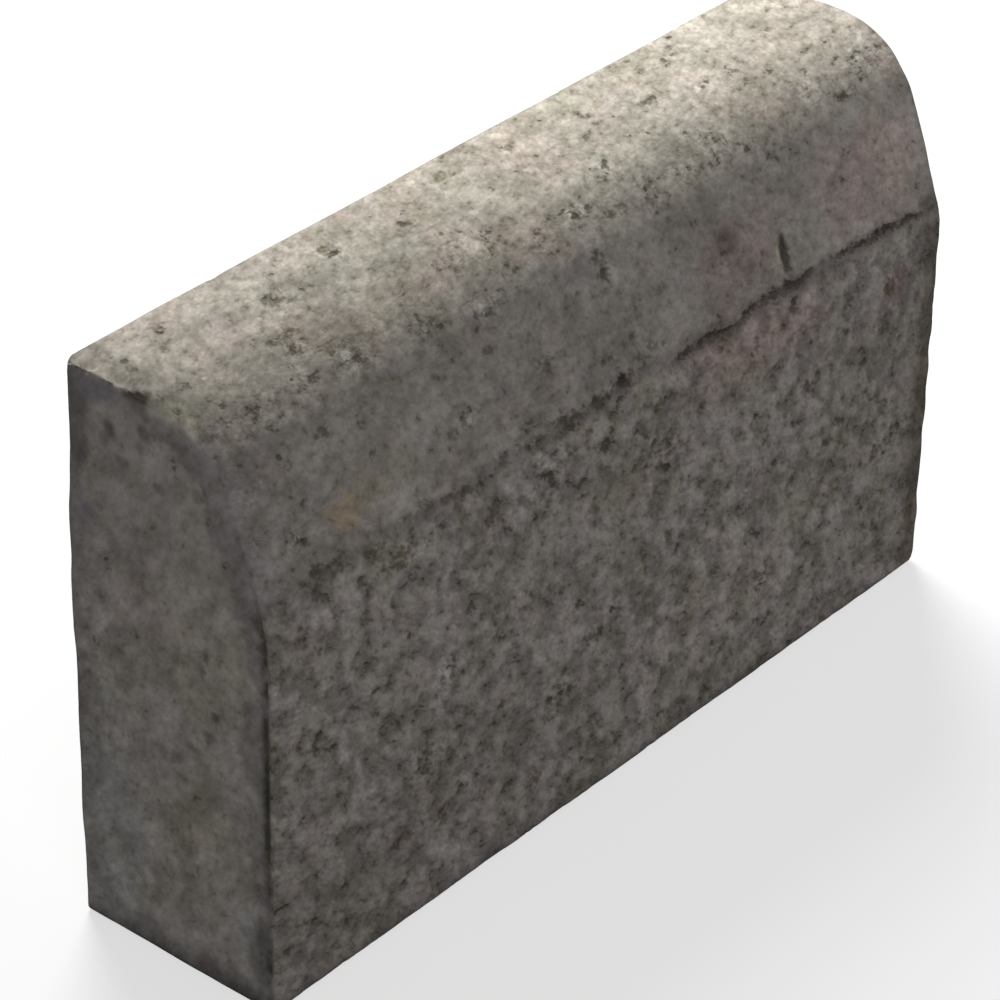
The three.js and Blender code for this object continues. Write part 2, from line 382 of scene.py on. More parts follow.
# ====== mesh
def distances(points, others):
    """Distance from each point to the nearest of the others, and that one's index."""
    gaps = np.linalg.norm(points[:, None, :] - others[None, :, :], axis=2)
    return gaps.min(axis=1), gaps.argmin(axis=1)


def inside(outline, points):
    """Whether each (y, z) point lies in the outline: a line on from it then crosses that an odd time."""
    starts, ends = outline.T[:, None], np.roll(outline, -1, axis=0).T[:, None]
    y, z = points[:, :1], points[:, 1:]
    crossed = (starts[1] > z) != (ends[1] > z)
    lean = (ends[0] - starts[0]) / np.where(ends[1] == starts[1], 1, ends[1] - starts[1])
    return np.count_nonzero(crossed & (y < starts[0] + lean * (z - starts[1])), axis=1) % 2 == 1


def spaced(points, gap):
    """The points in turn, without those that lie nearer than the gap to one kept before."""
    kept = points[:1]
    for point in points[1:]:
        if np.linalg.norm(kept - point, axis=1).min() > gap:
            kept = np.vstack([kept, point])
    return kept


def end_points(outline, normals, radius, step, rng):
    """Points that fill an end face: rings on its arris's rounding, then staggered rows, moved a little."""
    rings = []
    for share in RIM_SHARES:
        ring = outline - normals * (share * radius)[:, None]
        clear, _ = distances(ring, outline)
        rings.append(ring[clear > 0.95 * share * radius])
    rings = spaced(np.vstack(rings), 0.45 * step)

    rows = []
    row_height = step * math.sqrt(3) / 2
    for row, z in enumerate(np.arange(row_height, HEIGHT, row_height)):
        y = np.arange(-WIDTH / 2 + step * (0.5 + 0.5 * (row % 2)), WIDTH / 2, step)
        rows.append(np.column_stack([y, np.full(len(y), z)]))
    points = np.vstack(rows)
    points += rng.uniform(-0.15, 0.15, points.shape) * step
    clear, nearest = distances(points, outline)
    inner = points[inside(outline, points) & (clear > radius[nearest] + 0.6 * step)]
    return np.vstack([rings, inner])


def end_triangles(outline, inner):
    """Triangles of an end face, counter-clockwise in (y, z), as indices into outline then inner."""
    count = len(outline)
    points = [Vector(p) for p in np.vstack([outline, inner])]
    edges = [(i, (i + 1) % count) for i in range(count)]
    found = delaunay_2d_cdt(points, edges, [], 1, 1e-7)
    source = [origins[0] for origins in found[3]]
    return np.array([[source[i] for i in face] for face in found[2]])


def between(value, low, high):
    """A straight step from 0 at low to 1 at high, in mm."""
    return np.clip((value / MM - low) / (high - low), 0, 1)


def wear_radius(outline, x_end, rng):
    """How far the arris round an end is rounded, at each point of the outline."""
    y, z = outline[:, 0], outline[:, 1]
    rough = np.tile(rng.normal(size=len(y)), 3)
    uneven = np.convolve(rough, np.hanning(15), "same")[len(y) : 2 * len(y)]
    radius = ARRIS_RADIUS * np.clip(1 + 0.12 * uneven, 0.6, 1.8)
    if x_end < 0:
        on_nose = between(z, 212, 237) * between(y, 20, 8)
        radius += on_nose * (NEAR_NOSE_WEAR - ARRIS_RADIUS) * np.clip(1 + 0.1 * uneven, 0.7, 1.4)
        on_top = between(z, 295, 299) * between(y, 2, 10) * between(y, 58, 54)
        radius *= 1 - 0.6 * on_top
        up_the_back = between(z, 225, 255) * between(y, 54, 58)
        radius += up_the_back * NEAR_BACK_WEAR
    return radius


def round_over(from_arris, radius):
    """Moves a point of one face, this far from a square arris, onto a round of the given radius.

    Returns how far the point then lies from the other face and below its own, and its facing towards each.
    """
    reach = np.minimum(from_arris, radius)
    span = np.hypot(radius - reach, radius)
    along = np.where(from_arris < radius, radius - radius * (radius - reach) / span, from_arris)
    below = radius - radius * radius / span
    return along, below, (radius - reach) / span, radius / span


def station_places():
    """Where the rings of the wrapped-round faces stand along the kerb, closer on the ends' roundings."""
    rims = LENGTH / 2 - ARRIS_RADIUS * np.array([0, *RIM_SHARES])
    middle = np.linspace(-rims[-1], rims[-1], round(2 * rims[-1] / FINE_STEP) + 1)[1:-1]
    return np.concatenate([-rims, middle, rims[::-1]])


def wrapped_ring(x, x_end, outline, normals, radius):
    """One ring round the section: each vertex's place before it was rounded, after, and its facing."""
    side = 1 if x_end > 0 else -1
    across = np.full(len(outline), x)
    along, below, to_end, to_side = round_over(np.abs(x_end - across), radius)
    return (
        np.column_stack([across, outline]),
        np.column_stack([x_end - side * along, outline - normals * below[:, None]]),
        np.column_stack([side * to_end, normals * to_side[:, None]]),
    )


def end_face(x_end, inner, outline, normals, radius):
    """The same for the points that fill an end."""
    side = 1 if x_end > 0 else -1
    inset, nearest = distances(inner, outline)
    along, below, to_side, to_end = round_over(inset, radius[nearest])
    return (
        np.column_stack([np.full(len(inner), x_end), inner]),
        np.column_stack([x_end - side * below, inner - normals[nearest] * (along - inset)[:, None]]),
        np.column_stack([side * to_end, normals[nearest] * to_side[:, None]]),
    )


def kerb_mesh():
    """The stone's mesh, sound and unworn but for its rounded arrises, with the attributes the looks read."""
    rng = np.random.default_rng(SEED)
    outline = section_points()
    normals = outward(outline)
    ring = len(outline)
    stations = station_places()
    ends = (stations[0], stations[-1])
    radii = {x_end: wear_radius(outline, x_end, rng) for x_end in ends}

    vertices = []
    for x in stations:
        x_end = ends[0] if x < 0 else ends[1]
        vertices.append(wrapped_ring(x, x_end, outline, normals, radii[x_end]))
    k = np.arange(ring)
    after = (k + 1) % ring
    quads = np.vstack([
        np.column_stack([here + k, here + ring + k, here + ring + after, here + after])
        for here in ring * np.arange(len(stations) - 1)
    ])

    triangles = []
    first = len(stations) * ring
    for x_end, step in zip(ends, (NEAR_END_STEP, FAR_END_STEP)):
        inner = end_points(outline, normals, radii[x_end], step, rng)
        vertices.append(end_face(x_end, inner, outline, normals, radii[x_end]))
        rim = 0 if x_end < 0 else (len(stations) - 1) * ring
        index = np.concatenate([rim + k, first + np.arange(len(inner))])
        corners = index[end_triangles(outline, inner)]
        triangles.append(corners if x_end > 0 else corners[:, ::-1])
        first += len(inner)

    places, rounded, facings = (np.vstack(rows) for rows in zip(*vertices))
    mesh = bpy.data.meshes.new(NODE)
    mesh.from_pydata(rounded.tolist(), [], quads.tolist() + np.vstack(triangles).tolist())
    mesh.shade_smooth()
    add_bake_map(mesh, places, outline, len(quads), ring)

    corner_gaps = np.min(
        [np.hypot(places[:, 1] - y, places[:, 2] - z)
         for y, z in ((-WIDTH / 2, 0), (WIDTH / 2, 0), (WIDTH / 2, HEIGHT))],
        axis=0,
    )
    side_count = len(stations) * ring
    inset, nearest = distances(places[side_count:, 1:], outline)
    end_gaps = np.concatenate([LENGTH / 2 - np.abs(places[:side_count, 0]), inset])
    beside = np.concatenate([np.tile(k, len(stations)), nearest])
    radius = np.where(places[:, 0] < 0, radii[ends[0]][beside], radii[ends[1]][beside])
    along, climb = unrolled(places, outline, len(stations))
    spots = [within(along, climb, ovals) for ovals in (PIT_CLUSTERS, SMEARS, PALE_SPOTS)]
    carried = {
        "place": places,
        "facing": facings,
        "spots": np.column_stack(spots),
        "to_pit": way_to_pit(along, climb),
        "crease": over_crease(along, climb),
        "from_arris": np.minimum(corner_gaps, end_gaps),
        "from_wear": end_gaps - radius,
        "climb": np.minimum(climb, ON_AN_END),
    }
    for name, values in carried.items():
        kind, field = ("FLOAT", "value") if values.ndim == 1 else ("FLOAT_VECTOR", "vector")
        attribute = mesh.attributes.new(name, kind, "POINT")
        attribute.data.foreach_set(field, values.astype(np.float32).ravel())
    return mesh


def unrolled(places, outline, station_count):
    """Each vertex's place along the kerb, and up over it from the foot: endless for those on an end."""
    steps = np.linalg.norm(np.diff(outline, axis=0), axis=1)
    base_arris = (2 - math.pi / 2) * ARRIS_RADIUS
    climb = np.full(len(places), np.inf)
    wrapped = np.tile(np.concatenate([[0], np.cumsum(steps)]) + base_arris, station_count)
    climb[: len(wrapped)] = wrapped
    return places[:, 0] + LENGTH / 2, climb


def within(along, climb, ovals):
    """How much each vertex lies within some ovals: 1 about their middles, 0 from 1.5 times their size."""
    result = np.zeros(len(along))
    for x, s, half_x, half_s in ovals:
        gap = np.hypot((along - x * MM) / (half_x * MM), (climb - s * MM) / (half_s * MM))
        result = np.maximum(result, np.clip(1.5 - gap, 0, 1))
    return result


def over_crease(along, climb):
    """How far each vertex lies above the crease's line, and the groove's half width and strength there."""
    x, s, half_width, strength = np.array(CREASE).T
    x = x * MM
    over = np.clip(climb - np.interp(along, x, s * MM), -1, 1)
    return np.column_stack([over, np.interp(along, x, half_width * MM), np.interp(along, x, strength)])


def way_to_pit(along, climb):
    """The way from the nearest pit as shares of its half width and height, and how strongly it shows."""
    result = np.zeros((len(along), 3))
    nearest = np.full(len(along), PIT_REACH)
    second = nearest.copy()
    for x, s, half_x, half_s in [(x, s, radius, radius) for x, s, radius in PITS] + DARK_MARKS:
        way = np.column_stack([along - x * MM, climb - s * MM])
        far = np.maximum(np.abs(way) - np.array([half_x, half_s]) * MM, 0).max(axis=1)
        mine = far < nearest
        second = np.where(mine, nearest, np.minimum(second, far))
        nearest[mine] = far[mine]
        result[mine, :2] = way[mine] / (half_x * MM, half_s * MM)
    fainter_on_top = np.interp(climb, (280 * MM, 300 * MM), (1, 0.8))
    result[:, 2] = np.clip((second - nearest) / FINE_STEP, 0, 1) * fainter_on_top
    return result


def add_bake_map(mesh, places, outline, quad_count, ring):
    """A UV map with the wrapped-round faces as one strip and the two ends beside it."""
    steps = np.linalg.norm(np.roll(outline, -1, axis=0) - outline, axis=1)
    round_the_section = np.concatenate([[0], np.cumsum(steps)])
    sheet = round_the_section[-1] + 2 * BAKE_MARGIN
    corners = np.empty(len(mesh.loops), int)
    mesh.loops.foreach_get("vertex_index", corners)
    uv = np.empty((len(corners), 2))

    strip = corners[: quad_count * 4].reshape(-1, 4)
    level = strip % ring
    level[:, 2:] = level[:, :2][:, ::-1] + 1
    uv[: quad_count * 4, 0] = (places[strip, 0] + LENGTH / 2 + BAKE_MARGIN).ravel()
    uv[: quad_count * 4, 1] = (round_the_section[level] + BAKE_MARGIN).ravel()

    at = places[corners[quad_count * 4 :]]
    far_end_up = np.where(at[:, 0] < 0, 0, HEIGHT + 2 * BAKE_MARGIN)
    uv[quad_count * 4 :, 0] = at[:, 1] + WIDTH / 2 + LENGTH + 4 * BAKE_MARGIN
    uv[quad_count * 4 :, 1] = at[:, 2] + BAKE_MARGIN + far_end_up
    layer = mesh.uv_layers.new(name="OFBake")
    layer.data.foreach_set("uv", (uv / sheet).astype(np.float32).ravel())


# ====== node graphs
def seeded(seed):
    """Where a pattern with this seed is read from, so that no two are alike."""
    return seed, seed * 1.7, seed * 2.3


class Value:
    """What a socket holds, which can be reckoned with like a number."""

    def __init__(self, g, socket):
        self.g, self.socket = g, socket

    def __add__(self, other):
        return self.g.math("ADD", self, other)

    def __radd__(self, other):
        return self.g.math("ADD", other, self)

    def __sub__(self, other):
        return self.g.math("SUBTRACT", self, other)

    def __rsub__(self, other):
        return self.g.math("SUBTRACT", other, self)

    def __mul__(self, other):
        return self.g.math("MULTIPLY", self, other)

    def __truediv__(self, other):
        return self.g.math("DIVIDE", self, other)


class Graph:
    """Adds nodes to a shader or geometry node tree."""

    def __init__(self, tree):
        self.tree = tree

    def node(self, kind, **settings):
        made = self.tree.nodes.new(kind)
        for name, value in settings.items():
            setattr(made, name, value)
        return made

    def feed(self, socket, value):
        """Links a socket to a value or another socket, or sets its own number, vector or colour."""
        if isinstance(value, Value):
            value = value.socket
        if isinstance(value, bpy.types.NodeSocket):
            self.tree.links.new(value, socket)
        elif socket.type == "RGBA":
            socket.default_value = (*value, 1)
        else:
            socket.default_value = value

    def feed_all(self, sockets, values):
        for socket, value in zip(sockets, values):
            self.feed(socket, value)

    def results(self, node):
        """What comes out of a node, by its sockets' names."""
        return {socket.name: Value(self, socket) for socket in node.outputs}

    def math(self, operation, a, b=0.0):
        made = self.node("ShaderNodeMath", operation=operation)
        self.feed_all(made.inputs, (a, b))
        return Value(self, made.outputs[0])

    def hypotenuse(self, a, b):
        return self.math("SQRT", a * a + b * b)

    def ramp(self, value, low, high, to_low=0.0, to_high=1.0):
        """A smooth step from low to high."""
        made = self.node("ShaderNodeMapRange", interpolation_type="SMOOTHSTEP")
        self.feed_all(made.inputs, (value, low, high, to_low, to_high))
        return Value(self, made.outputs[0])

    def step(self, length, low, high, to_low=0.0, to_high=1.0):
        """The same for a length, between two given in mm."""
        return self.ramp(length, low * MM, high * MM, to_low, to_high)

    def blend_value(self, factor, a, b):
        """Mixes two numbers."""
        made = self.node("ShaderNodeMix", data_type="FLOAT")
        self.feed_all(made.inputs[0:1] + made.inputs[2:4], (factor, a, b))
        return Value(self, made.outputs[0])

    def blend_colour(self, blend_type, factor, under, colour):
        made = self.node("ShaderNodeMix", data_type="RGBA", blend_type=blend_type)
        self.feed_all(made.inputs[0:1] + made.inputs[6:8], (factor, under, colour))
        return Value(self, made.outputs[2])

    def vector(self, operation, *vectors, scale=None):
        made = self.node("ShaderNodeVectorMath", operation=operation)
        self.feed_all(made.inputs, vectors)
        if scale is not None:
            self.feed(made.inputs["Scale"], scale)
        return Value(self, made.outputs[0])

    def dot(self, a, b):
        made = self.node("ShaderNodeVectorMath", operation="DOT_PRODUCT")
        self.feed_all(made.inputs, (a, b))
        return Value(self, made.outputs["Value"])

    def split(self, vector):
        made = self.node("ShaderNodeSeparateXYZ")
        self.feed(made.inputs[0], vector)
        return self.results(made).values()

    def join(self, *values):
        made = self.node("ShaderNodeCombineXYZ")
        self.feed_all(made.inputs, values)
        return Value(self, made.outputs[0])

    def scaled(self, place, size, seed, stretch=(1, 1, 1)):
        """Pattern coordinates for features of about this size in mm, longer along an axis by its stretch."""
        return self.vector("MULTIPLY_ADD", place, [1 / (size * MM * s) for s in stretch], seeded(seed))

    def drawn_out(self, place, amount, slant=SLANT):
        """Pattern coordinates whose features are this much longer along the slant."""
        squeeze = self.vector("SCALE", slant, scale=self.dot(place, slant) * (1 / amount - 1))
        return self.vector("ADD", place, squeeze)

    def texture(self, kind, pattern, **settings):
        """A texture read at these pattern coordinates, with the settings of its other sockets."""
        made = self.node(kind)
        self.feed(made.inputs["Vector"], pattern)
        self.feed(made.inputs["Scale"], 1.0)
        for name, value in settings.items():
            self.feed(made.inputs[name], value)
        return self.results(made)

    def noise(self, place, size, seed, detail=2.0, roughness=0.5, stretch=(1, 1, 1)):
        """A pattern of 0 to 1 with features of about this size in mm. Each seed gives another."""
        pattern = self.scaled(place, size, seed, stretch)
        return self.texture("ShaderNodeTexNoise", pattern, Detail=detail, Roughness=roughness)["Fac"]


# ====== ragged marks
# What the node group of a mark is given, in this order: the pattern's place, fineness and seed, where a point
# lies, the mark's own middle and half size, how much of it shows, and the colours under it and on it
MARK_INPUTS = {
    "Place": "Vector", "Fineness": "Float", "Seed": "Vector",
    "Across": "Float", "Up": "Float",
    "Middle across": "Float", "Middle up": "Float", "Half width": "Float", "Half height": "Float",
    "Mask": "Float", "Cover": "Float",
    "Under": "Color", "Colour": "Color",
}
MARK_OUTPUTS = {"Share": "Float", "Tinted": "Color", "Covered": "Color"}
MARK_FRAY = 1.8  # how ragged a mark's edge is
MARK_EDGE = (1.25, 0.5)  # where a mark ends and where it is whole, in half sizes from its middle


def mark_group():
    """Nodes for one mark: how much of an oval that noise makes ragged shows, and the colour it leaves."""
    tree = bpy.data.node_groups.new("ragged_mark", "GeometryNodeTree")
    for way, sockets in (("INPUT", MARK_INPUTS), ("OUTPUT", MARK_OUTPUTS)):
        for name, kind in sockets.items():
            tree.interface.new_socket(name, in_out=way, socket_type="NodeSocket" + kind)
    g = Graph(tree)
    given = g.results(g.node("NodeGroupInput"))
    from_middle = given["Across"] - given["Middle across"]
    above_middle = given["Up"] - given["Middle up"]
    across = from_middle / given["Half width"]
    up = above_middle / given["Half height"]
    pattern = g.vector("MULTIPLY_ADD", given["Place"], given["Fineness"], given["Seed"])
    noise = g.texture("ShaderNodeTexNoise", pattern, Detail=2.0, Roughness=0.5)["Fac"]
    reach = g.hypotenuse(across, up) + (noise - 0.5) * MARK_FRAY
    share = g.ramp(reach, *MARK_EDGE) * given["Mask"] * given["Cover"]
    tinted = g.blend_colour("MULTIPLY", share, given["Under"], given["Colour"])
    covered = g.blend_colour("MIX", share, given["Under"], given["Colour"])
    g.feed_all(g.node("NodeGroupOutput").inputs, (share, tinted, covered))
    return tree


# ====== the cast surface
class Surface:
    """The cast pattern over the mesh: what its relief follows, and the colours under its fine grain."""

    def __init__(self, g):
        self.g = g
        self.marks = mark_group()
        self.place = self.read("place")
        self.facing = self.read("facing")
        self.pitting, _, _ = g.split(self.read("spots"))
        self.to_pit = self.read("to_pit")
        self.crease = self.read("crease")
        self.from_arris = self.read("from_arris", "FLOAT")
        self.from_wear = self.read("from_wear", "FLOAT")
        self.climb = self.read("climb", "FLOAT")
        self.x, self.y, self.z = g.split(self.place)
        facing_x, facing_y, self.upward = g.split(self.facing)
        self.on_end = g.ramp(g.math("ABSOLUTE", facing_x), 0.55, 0.8)
        self.on_near_end = self.on_end * g.step(self.x, 0, -100)
        self.on_top = g.ramp(self.upward, 0.5, 0.85)
        self.road_side = g.ramp(facing_y, 0.2, -0.2) * (1.0 - self.on_end)
        self.near_top_arris = g.step(self.x, -235, -245) * g.step(self.z, 240, 270)
        self.breaks = [self.beyond_break(*corner) for corner in BROKEN_CORNERS]
        self.broken_back = g.step(self.breaks[0][0], -1, 0)
        self.fray = g.noise(self.place, 7, 91.3, detail=1) - 0.5

        # The base mix below the crease is coarse, the facing mix above it is fine
        sway = (g.noise(self.place, 34, 3.1) - 0.5) * (16 * MM)
        above_crease = self.z + sway - CREASE_HEIGHT
        self.coarse = g.step(above_crease, 4, -6) * g.ramp(self.on_end, 0, 1, 1.0, 0.45)

        # Patterns of the mix, each hollow or dark where low
        stirred = self.stir(8, 1.3)
        self.patch = g.noise(self.place, 24, 11.7, stretch=(1, 1, 1.2))
        self.lumps = g.noise(stirred, 11, 17.7, detail=1, roughness=0.6, stretch=(1, 1, 1.1))
        streaked = g.drawn_out(self.place, END_STRETCH, END_SLANT)
        self.streaks = g.noise(streaked, 8, 71.9, roughness=0.6) - 0.5
        self.openness = self.pore_openness()
        self.hollow = self.hollowness()

    def read(self, name, kind="FLOAT_VECTOR"):
        node = self.g.node("GeometryNodeInputNamedAttribute", data_type=kind)
        node.inputs["Name"].default_value = name
        return Value(self.g, node.outputs["Attribute"])

    def frayed(self, value, amount):
        """A value made uneven by the fine fray."""
        return value + self.fray * amount

    def by_mix(self, facing, base):
        """A number that is one thing in the facing mix and another in the coarser base mix."""
        return self.g.ramp(self.coarse, 0, 1, facing, base)

    def stir(self, size, reach):
        """The place pushed about by noise and drawn out along the slant."""
        g = self.g
        sway = g.texture("ShaderNodeTexNoise", g.scaled(self.place, size, 83.1), Detail=1.0)["Color"]
        pushed = g.vector("MULTIPLY_ADD", sway, [2 * reach * MM] * 3, self.place)
        return g.drawn_out(pushed, LUMP_STRETCH)

    def hollowness(self):
        """How far the surface sinks below where the larger voids open, above 0 inside one."""
        edge = self.by_mix(0.265, 0.322) + self.pitting * 0.07 + self.on_end * -0.06
        return edge - self.lumps

    def pore_openness(self):
        """How open the small pores are: more so where the mix is coarse, on the top and in the clusters."""
        return (
            self.by_mix(0.34, 0.415)
            + (self.patch - 0.5) * self.by_mix(-0.35, -0.15)
            + self.pitting * 0.10
            + self.on_top * 0.02
            + self.on_end * -0.06
        )

    def plate_contrast(self):
        """How much lighter the mix's plates are than the ground between them."""
        return self.by_mix(0.16, 0.42) + self.on_end * -0.06

    def liveliness(self):
        """How strongly the fine grain shows."""
        return (
            self.by_mix(0.76, 1.0)
            + self.on_top * 0.30
            + self.on_end * -0.28
            + self.pitting * 0.65
        )

    def relief(self):
        """How far in the surface is worn or left hollow, in metres."""
        g = self.g
        undulation = g.ramp(g.noise(self.place, 70, 1.3, detail=1), 0.3, 0.7, 0, UNDULATION)
        lumps = g.ramp(self.lumps, 0.35, 0.65, 1.0, 0) * self.by_mix(*LUMP_DEPTHS)
        chipped = g.ramp(g.noise(self.place, 26, 43.1), 0.36, 0.20, 0, CHIP_DEPTH)
        chips = g.step(self.from_arris, 6, 0) * chipped
        nicks = (
            g.step(self.from_arris, 4, 0)
            * g.ramp(g.noise(self.place, 8, 44.7, detail=1), 0.46, 0.30, 0, NICK_DEPTH)
            * self.near_top_arris
            * g.step(self.y, 56, 46)
        )
        near_rim = (self.y, -WIDTH / 2, self.z, g.step(self.x, -241, -245))
        near_chips = reduce(add, (self.mark(near_rim, chip, depth)["Share"] for *chip, depth in NEAR_CHIPS))
        settled = g.drawn_out(self.place, GRAIN_STRETCH)
        pinholes = g.ramp(self.openness - pore_noise(g, settled, detail=1), 0.0, 0.15)
        pitted = (
            g.ramp(self.hollow, 0.0, 0.10) * VOID_DEPTH
            + pinholes * PINHOLE_DEPTH
            + pit_depth(g, self.to_pit, 0) * PIT_DEPTH
            + crease_depth(g, self.crease, 0) * CREASE_DEPTH
        )
        inner = g.step(self.from_arris, 0, 5, 0.35, 1)
        cast = (lumps + pitted) * inner
        return INSET + undulation + chips + nicks + near_chips + cast

    def beyond_break(self, corner, lean, depth):
        """How far a point lies outside the face where a corner broke off, and the way in."""
        g = self.g
        inward = -(Vector(corner) * Vector(lean)).normalized()
        tip = Vector(corner) * Vector((LENGTH / 2, WIDTH / 2, HEIGHT / 2)) + Vector((0, 0, HEIGHT / 2))
        fray = (g.noise(self.place, 9, 47.3, detail=1) - 0.5) * (4 * MM)
        return depth + tip.dot(inward) - (g.dot(self.place, inward) + fray), inward

    def mark(self, face, oval, cover, *colours):
        """What a mark's node group gives on a face: its way across and where that starts, way up and mask."""
        across, start, up, mask = face
        x, z, half_x, half_z, lattice = oval
        made = self.g.node("GeometryNodeGroup", node_tree=self.marks)
        pattern = (self.place, 1 / (lattice * MM), seeded(z))
        spot = (across, up, x * MM + start, z * MM, half_x * MM, half_z * MM)
        self.g.feed_all(made.inputs, (*pattern, *spot, mask, cover, *colours))
        return self.g.results(made)

    def tint_marks(self, paint, face, marks):
        for colour, *oval in marks:
            paint.colour = self.mark(face, oval, 1.0, paint.colour, colour)["Tinted"]

    def stain_marks(self, paint, face, stains):
        for colour, marks in stains:
            for *oval, cover in marks:
                paint.colour = self.mark(face, oval, cover, paint.colour, colour)["Covered"]

    def ground(self):
        """The colour under the fine grain: the mixes, the weathering, the stains, the dirt, and painted light
        and shade.
        """
        paint = Paint(self.g, FACING_MIX)
        paint.over(BASE_MIX, self.coarse)
        self.weather_and_light_sides(paint)
        self.colour_ends(paint)
        self.mottle(paint)
        self.lay_dirt_and_shade(paint)
        along_road = (self.x, -LENGTH / 2, self.z, self.road_side)
        across_end = (self.y, -WIDTH / 2, self.z, self.on_near_end)
        self.tint_marks(paint, along_road, ROAD_TINTS)
        self.stain_marks(paint, along_road, ROAD_STAINS)
        self.tint_marks(paint, across_end, END_TINTS)
        self.stain_marks(paint, across_end, END_STAINS)
        return paint.colour

    def weather_and_light_sides(self, paint):
        """The paler top, partly bleached and partly painted light, the painted shade along the nose, and how
        the road side darkens and lightens towards its ends.
        """
        g = self.g
        # The top is paler, partly bleached and partly painted light for the light it takes. It is lighter
        # still towards the far end and the back, also partly as painted light, but less so beside the near
        # end
        upward = self.frayed(self.upward, 0.3) + g.step(self.x, -20, 60, 0, 0.07)
        weathering_and_light = g.ramp(upward, 0.58, 0.72, 0, 0.5) + g.ramp(self.upward, 0.70, 1.0, 0, 0.5)
        over_arris = self.near_top_arris * g.ramp(self.upward, 0.3, 0.5)
        worn_corners = g.math("MAXIMUM", over_arris, self.broken_back)
        paint.over(WEATHERED_AND_LIT_TOP, g.math("MAXIMUM", weathering_and_light, worn_corners))
        bleaching_and_light = g.step(self.x, -260, 160, 0.80, 1.15) + g.step(self.y, 0, 62, -0.17, 0.14)
        paint.shade(bleaching_and_light, self.on_top)
        paint.tint(NEAR_TOP_TINT, self.on_top, g.step(self.x, -100, -200))
        near_strip = g.step(self.frayed(self.x, 6 * MM), -228, -234)
        paint.tint(NEAR_STRIP_TINT, self.on_top, near_strip)
        self.tint_marks(paint, (self.x, -LENGTH / 2, self.climb, 1.0), TOP_TINTS)

        shaded_nose = g.ramp(self.upward, 0.36, 0.46) * g.ramp(upward, 0.66, 0.58) * self.road_side
        paint.shade(g.step(self.x, 10, 50, 0.86, 1.0), shaded_nose)
        upper = g.ramp(self.coarse, 0.5, 0)
        towards_near = g.step(self.x, -190, -245)
        paint.shade(0.80, self.road_side, towards_near, upper, g.ramp(self.upward, 0.8, 0.5))
        paint.shade(1.20, self.road_side, g.step(self.x, 80, 245), upper)
        ends_of_base = g.step(self.x, 190, 245) + towards_near * 0.6
        paint.shade(0.86, self.road_side, self.coarse, ends_of_base)

    def colour_ends(self, paint):
        """The ends' own colour, their darker border, and the marks of the near end's upper arrises: a painted
        highlight on a rim and a notch of painted shade.
        """
        g = self.g
        bitten = g.step(self.frayed(self.from_arris, 20 * MM), 0.8, 1.6)
        whole = 1 - self.broken_back
        end = self.on_end * g.blend_value(self.near_top_arris, 1.0, bitten) * whole
        paint.over(END_CENTRE, end)

        # The border comes in patches, and also covers the worn nose at the near end
        broad_fray = g.noise(self.place, 38, 37.7) - 0.5
        uneven_border = self.frayed(self.from_arris, 14 * MM) + broad_fray * (34 * MM)
        high_back = g.step(self.z, 205, 235) * g.step(self.y, 20, 38)
        border = g.step(uneven_border, 17, 9) * g.step(self.y, 20, 45, 1, 0.7)
        paint.over(END_BORDER, end, border)
        paint.tint(HIGH_BACK_TINT, end, border, high_back)

        # Beside the nose the top arris has a pale rim, a painted highlight, and behind it a dark notch where
        # a piece broke out, in painted shade
        lit_rim = (
            g.step(self.frayed(self.x, 6 * MM), -240, -244)
            * g.step(self.z, 289, 295)
            * g.step(self.y, 12, 9)
        )
        broken_off = self.x + LENGTH / 2 + g.step(self.y, 23, 10, 0, -6 * MM)
        notch_shade = (
            g.step(self.frayed(broken_off, 4 * MM), 0.8, -0.8)
            * g.step(self.frayed(self.y, 4 * MM), 8.5, 10)
            * g.step(self.y, 25, 23)
            * g.step(self.z, 294, 297)
        )
        paint.over(WEATHERED_AND_LIT_TOP, lit_rim, 0.6)
        paint.shade(1.2, lit_rim)
        paint.over(VOID_DIRT_AND_SHADE, notch_shade, 0.9)
        near_nose = (
            g.step(self.x, -200, -220)
            * g.step(self.z, 205, 225)
            * g.step(self.frayed(self.z, 8 * MM), 293, 288)
        )
        worn_nose = g.step(self.frayed(self.from_wear, 16 * MM), 5, 3.6)
        paint.over(END_BORDER, worn_nose, near_nose)

    def mottle(self, paint):
        """The patches of the mix, in tone and in hue."""
        g = self.g
        patch_strength = self.by_mix(0.75, 0.60) + self.on_top * 0.40 + self.on_end * 0.10
        broad = g.noise(self.place, 60, 61.3) - 0.5
        paint.shade(
            (self.patch - 0.5) * patch_strength
            + broad * self.by_mix(0.32, 0.20)
            + self.streaks * self.on_end * 0.75
            + 1.0
        )
        paint.tint(HOLLOW_TINT, g.ramp(self.patch, 0.55, 0.38), self.by_mix(0.5, 1))
        hue = g.noise(self.place, 26, 66.1)
        colourful = g.ramp(self.on_top, 0, 1, 0.45, 1)
        paint.tint(ROSY_TINT, g.ramp(hue, 0.52, 0.66), colourful)
        paint.tint(GREENISH_TINT, g.ramp(hue, 0.48, 0.36), colourful)

    def lay_dirt_and_shade(self, paint):
        """Painted contact shade low down, darker arrises, a brown far edge, painted shade along the crease,
        and a painted shadow beside the near end's front arris.
        """
        g = self.g
        # Painted contact shade: darker towards the bottom, but not towards the far end
        shaded_foot = g.step(self.frayed(self.z, 8 * MM), 1, 12, 0.60, 1.0)
        paint.shade(g.blend_value(g.step(self.x, 190, 235), shaded_foot, 1.0))
